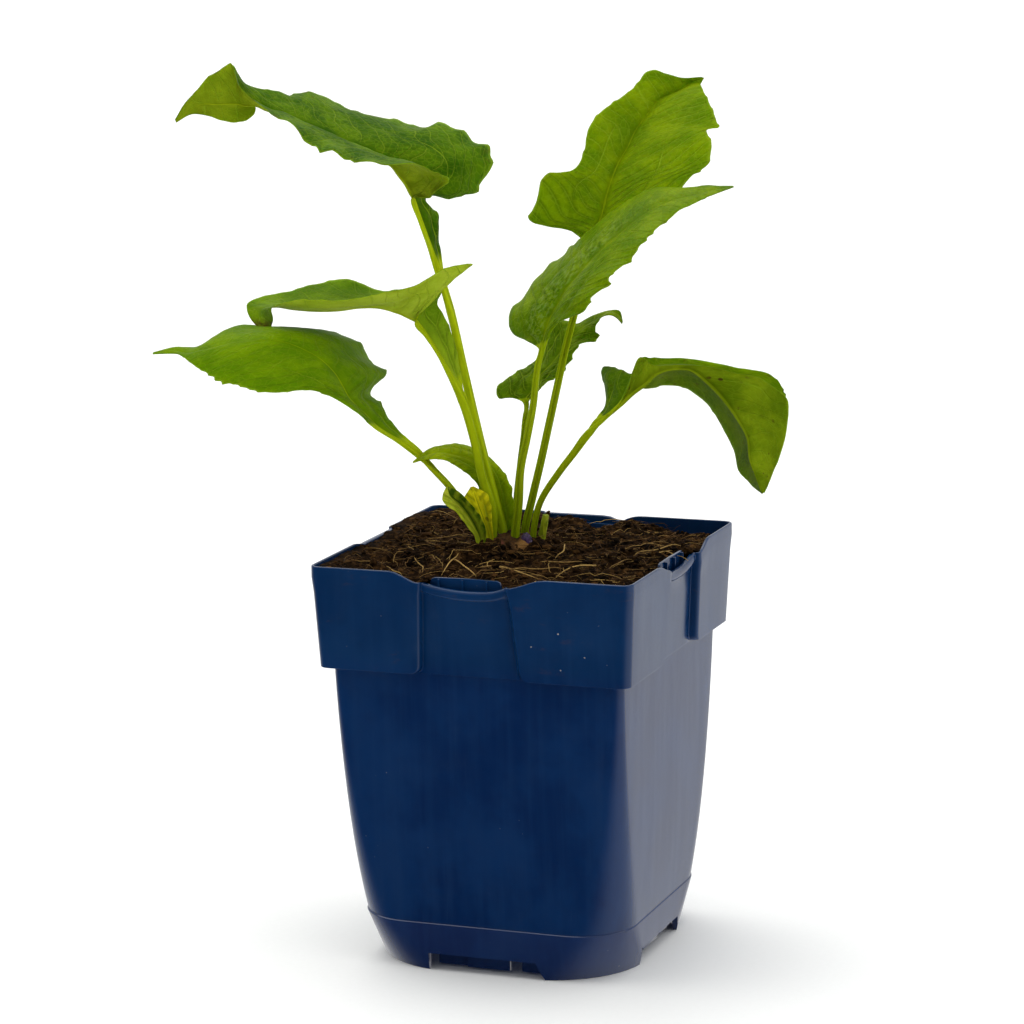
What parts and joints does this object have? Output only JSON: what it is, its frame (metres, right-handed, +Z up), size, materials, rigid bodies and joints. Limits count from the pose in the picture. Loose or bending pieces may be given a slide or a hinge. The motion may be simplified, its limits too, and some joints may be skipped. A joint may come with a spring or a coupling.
{
  "type": "potted coneflower",
  "caption": "Young leafy perennial in a square plastic nursery pot: long-stalked oval leaves rise from a woody crown in compost, above a stepped collar with label pockets.",
  "frame": {"origin": "on the pot's axis, which is also the middle of the whole plant's box, in the plane of the surface that its foot stands on", "axes": "+Z up along the pot's axis, -Y out of the pot's front side, +X out of the side to the right of it"},
  "size_m": [0.2662, 0.2163, 0.4033],
  "materials": {
    "pot_plastic": "satin",
    "compost": "matte",
    "crown_bark": "matte",
    "leaf_top_left": "satin",
    "leaf_middle_left": "satin",
    "leaf_lower_left": "satin",
    "leaf_arching_base": "satin",
    "leaf_folded_base": "satin",
    "leaf_withered": "satin",
    "leaf_back_right": "satin",
    "leaf_front_right": "satin",
    "leaf_small_middle": "satin",
    "leaf_drooping_right": "satin",
    "stub_green": "satin",
    "bud_purple": "satin"
  },
  "bodies": {
    "root": {"pot": "pot_plastic", "soil": "compost", "crown": "crown_bark", "leaf_top_left": "leaf_top_left", "leaf_middle_left": "leaf_middle_left", "leaf_lower_left": "leaf_lower_left", "leaf_arching_base": "leaf_arching_base", "leaf_folded_base": "leaf_folded_base", "leaf_withered": "leaf_withered", "leaf_back_right": "leaf_back_right", "leaf_front_right": "leaf_front_right", "leaf_small_middle": "leaf_small_middle", "leaf_drooping_right": "leaf_drooping_right", "shoot_stub": "stub_green", "bud": "bud_purple"}
  },
  "joints": []
}
